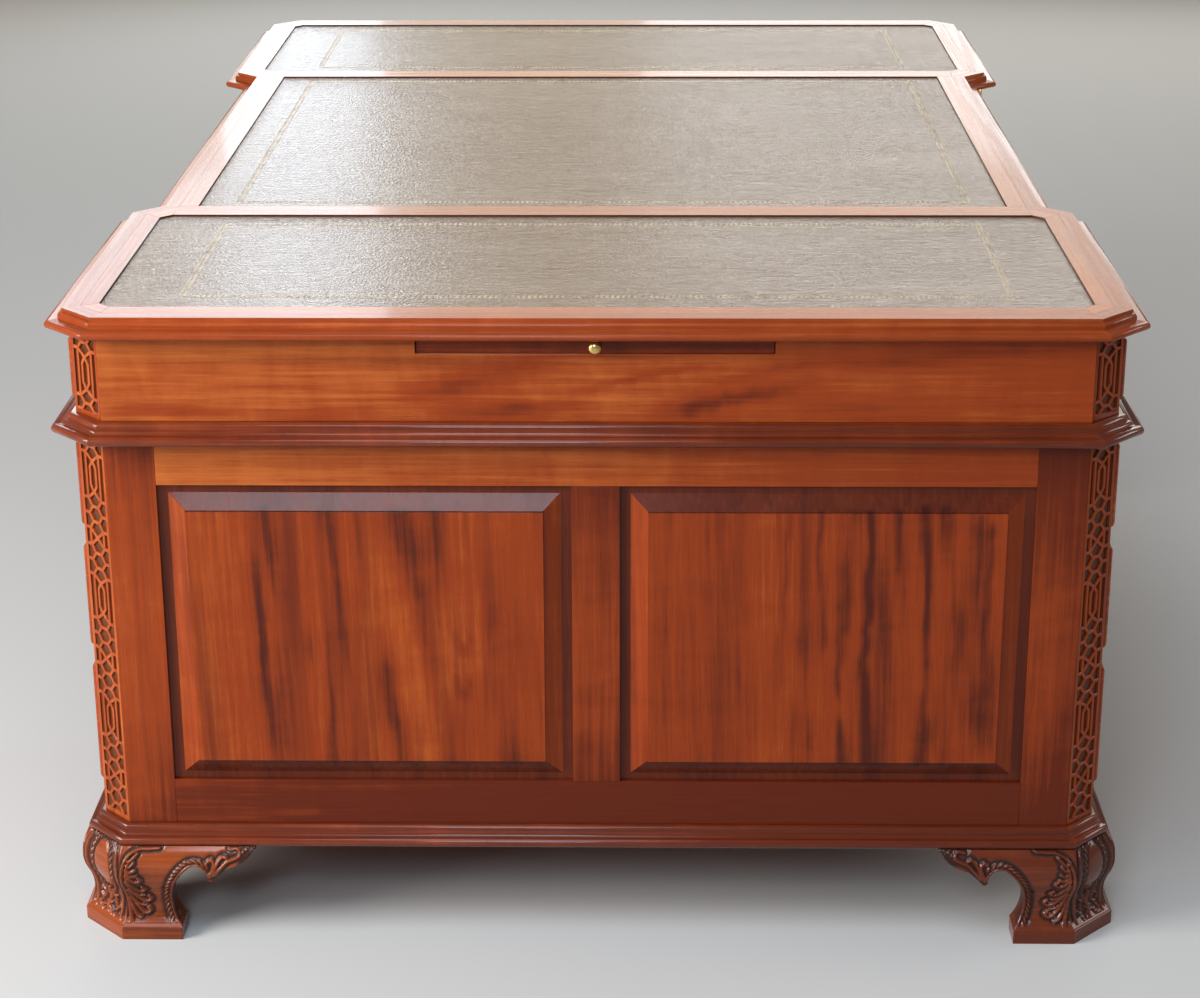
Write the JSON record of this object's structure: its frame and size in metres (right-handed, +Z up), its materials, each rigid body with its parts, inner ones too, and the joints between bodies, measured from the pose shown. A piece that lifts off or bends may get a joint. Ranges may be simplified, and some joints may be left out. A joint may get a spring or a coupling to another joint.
{
  "type": "pedestal desk",
  "caption": "Double-sided pedestal desk with a stepped, canted top set with leather, lipped drawers on both long sides, pull-out end slides, panelled ends and ogee bracket feet.",
  "frame": {"origin": "on the floor under the middle of the desk", "axes": "+X along the desk's length towards its right end, -Y out of its front long side, +Z up"},
  "size_m": [1.9682, 1.271, 0.78],
  "materials": {
    "mahogany": "french polished",
    "leather": "waxed",
    "brass": "aged"
  },
  "bodies": {
    "root": {"top_board": "mahogany", "top_moulding": "mahogany", "frieze_ends": "mahogany", "frieze_rails": "mahogany", "frieze_inner_frame": "mahogany", "waist_moulding": "mahogany", "bracket_feet": "mahogany", "leather_left": "leather", "leather_centre": "leather", "leather_right": "leather", "corner_posts_right": "mahogany", "corner_posts_left": "mahogany", "end_frame_right": "mahogany", "end_frame_left": "mahogany", "end_panels_right": "mahogany", "end_panels_left": "mahogany", "pedestal_carcase_right": "mahogany", "pedestal_carcase_left": "mahogany", "base_moulding_right": "mahogany", "base_moulding_left": "mahogany"},
    "front_right_frieze_drawer": {"front_right_frieze_drawer": "mahogany", "front_right_frieze_drawer_knob": "brass"},
    "front_right_bottom_drawer": {"front_right_bottom_drawer": "mahogany", "front_right_bottom_drawer_knob": "brass"},
    "front_right_middle_drawer": {"front_right_middle_drawer": "mahogany", "front_right_middle_drawer_knob": "brass"},
    "front_right_top_drawer": {"front_right_top_drawer": "mahogany", "front_right_top_drawer_knob": "brass"},
    "front_centre_frieze_drawer": {"front_centre_frieze_drawer": "mahogany", "front_centre_frieze_drawer_knobs": "brass"},
    "front_left_frieze_drawer": {"front_left_frieze_drawer": "mahogany", "front_left_frieze_drawer_knob": "brass"},
    "front_left_bottom_drawer": {"front_left_bottom_drawer": "mahogany", "front_left_bottom_drawer_knob": "brass"},
    "front_left_middle_drawer": {"front_left_middle_drawer": "mahogany", "front_left_middle_drawer_knob": "brass"},
    "front_left_top_drawer": {"front_left_top_drawer": "mahogany", "front_left_top_drawer_knob": "brass"},
    "back_right_frieze_drawer": {"back_right_frieze_drawer": "mahogany", "back_right_frieze_drawer_knob": "brass"},
    "back_right_bottom_drawer": {"back_right_bottom_drawer": "mahogany", "back_right_bottom_drawer_knob": "brass"},
    "back_right_middle_drawer": {"back_right_middle_drawer": "mahogany", "back_right_middle_drawer_knob": "brass"},
    "back_right_top_drawer": {"back_right_top_drawer": "mahogany", "back_right_top_drawer_knob": "brass"},
    "back_centre_frieze_drawer": {"back_centre_frieze_drawer": "mahogany", "back_centre_frieze_drawer_knobs": "brass"},
    "back_left_frieze_drawer": {"back_left_frieze_drawer": "mahogany", "back_left_frieze_drawer_knob": "brass"},
    "back_left_bottom_drawer": {"back_left_bottom_drawer": "mahogany", "back_left_bottom_drawer_knob": "brass"},
    "back_left_middle_drawer": {"back_left_middle_drawer": "mahogany", "back_left_middle_drawer_knob": "brass"},
    "back_left_top_drawer": {"back_left_top_drawer": "mahogany", "back_left_top_drawer_knob": "brass"},
    "brushing_slide_right": {"brushing_slide_right": "mahogany", "slide_knob_right": "brass"},
    "brushing_slide_left": {"brushing_slide_left": "mahogany", "slide_knob_left": "brass"}
  },
  "joints": [
    {"name": "front_right_frieze_drawer_slide", "type": "slide", "parent": "root", "child": "front_right_frieze_drawer", "axis": [0, -1, 0], "range_m": [0, 0.4]},
    {"name": "front_right_bottom_drawer_slide", "type": "slide", "parent": "root", "child": "front_right_bottom_drawer", "axis": [0, -1, 0], "range_m": [0, 0.4]},
    {"name": "front_right_middle_drawer_slide", "type": "slide", "parent": "root", "child": "front_right_middle_drawer", "axis": [0, -1, 0], "range_m": [0, 0.4]},
    {"name": "front_right_top_drawer_slide", "type": "slide", "parent": "root", "child": "front_right_top_drawer", "axis": [0, -1, 0], "range_m": [0, 0.4]},
    {"name": "front_centre_frieze_drawer_slide", "type": "slide", "parent": "root", "child": "front_centre_frieze_drawer", "axis": [0, -1, 0], "range_m": [0, 0.37]},
    {"name": "front_left_frieze_drawer_slide", "type": "slide", "parent": "root", "child": "front_left_frieze_drawer", "axis": [0, -1, 0], "range_m": [0, 0.4]},
    {"name": "front_left_bottom_drawer_slide", "type": "slide", "parent": "root", "child": "front_left_bottom_drawer", "axis": [0, -1, 0], "range_m": [0, 0.4]},
    {"name": "front_left_middle_drawer_slide", "type": "slide", "parent": "root", "child": "front_left_middle_drawer", "axis": [0, -1, 0], "range_m": [0, 0.4]},
    {"name": "front_left_top_drawer_slide", "type": "slide", "parent": "root", "child": "front_left_top_drawer", "axis": [0, -1, 0], "range_m": [0, 0.4]},
    {"name": "back_right_frieze_drawer_slide", "type": "slide", "parent": "root", "child": "back_right_frieze_drawer", "axis": [0, 1, 0], "range_m": [0, 0.4]},
    {"name": "back_right_bottom_drawer_slide", "type": "slide", "parent": "root", "child": "back_right_bottom_drawer", "axis": [0, 1, 0], "range_m": [0, 0.4]},
    {"name": "back_right_middle_drawer_slide", "type": "slide", "parent": "root", "child": "back_right_middle_drawer", "axis": [0, 1, 0], "range_m": [0, 0.4]},
    {"name": "back_right_top_drawer_slide", "type": "slide", "parent": "root", "child": "back_right_top_drawer", "axis": [0, 1, 0], "range_m": [0, 0.4]},
    {"name": "back_centre_frieze_drawer_slide", "type": "slide", "parent": "root", "child": "back_centre_frieze_drawer", "axis": [0, 1, 0], "range_m": [0, 0.37]},
    {"name": "back_left_frieze_drawer_slide", "type": "slide", "parent": "root", "child": "back_left_frieze_drawer", "axis": [0, 1, 0], "range_m": [0, 0.4]},
    {"name": "back_left_bottom_drawer_slide", "type": "slide", "parent": "root", "child": "back_left_bottom_drawer", "axis": [0, 1, 0], "range_m": [0, 0.4]},
    {"name": "back_left_middle_drawer_slide", "type": "slide", "parent": "root", "child": "back_left_middle_drawer", "axis": [0, 1, 0], "range_m": [0, 0.4]},
    {"name": "back_left_top_drawer_slide", "type": "slide", "parent": "root", "child": "back_left_top_drawer", "axis": [0, 1, 0], "range_m": [0, 0.4]},
    {"name": "brushing_slide_right_pull", "type": "slide", "parent": "root", "child": "brushing_slide_right", "axis": [1, 0, 0], "range_m": [0, 0.25]},
    {"name": "brushing_slide_left_pull", "type": "slide", "parent": "root", "child": "brushing_slide_left", "axis": [-1, 0, 0], "range_m": [0, 0.25]}
  ]
}
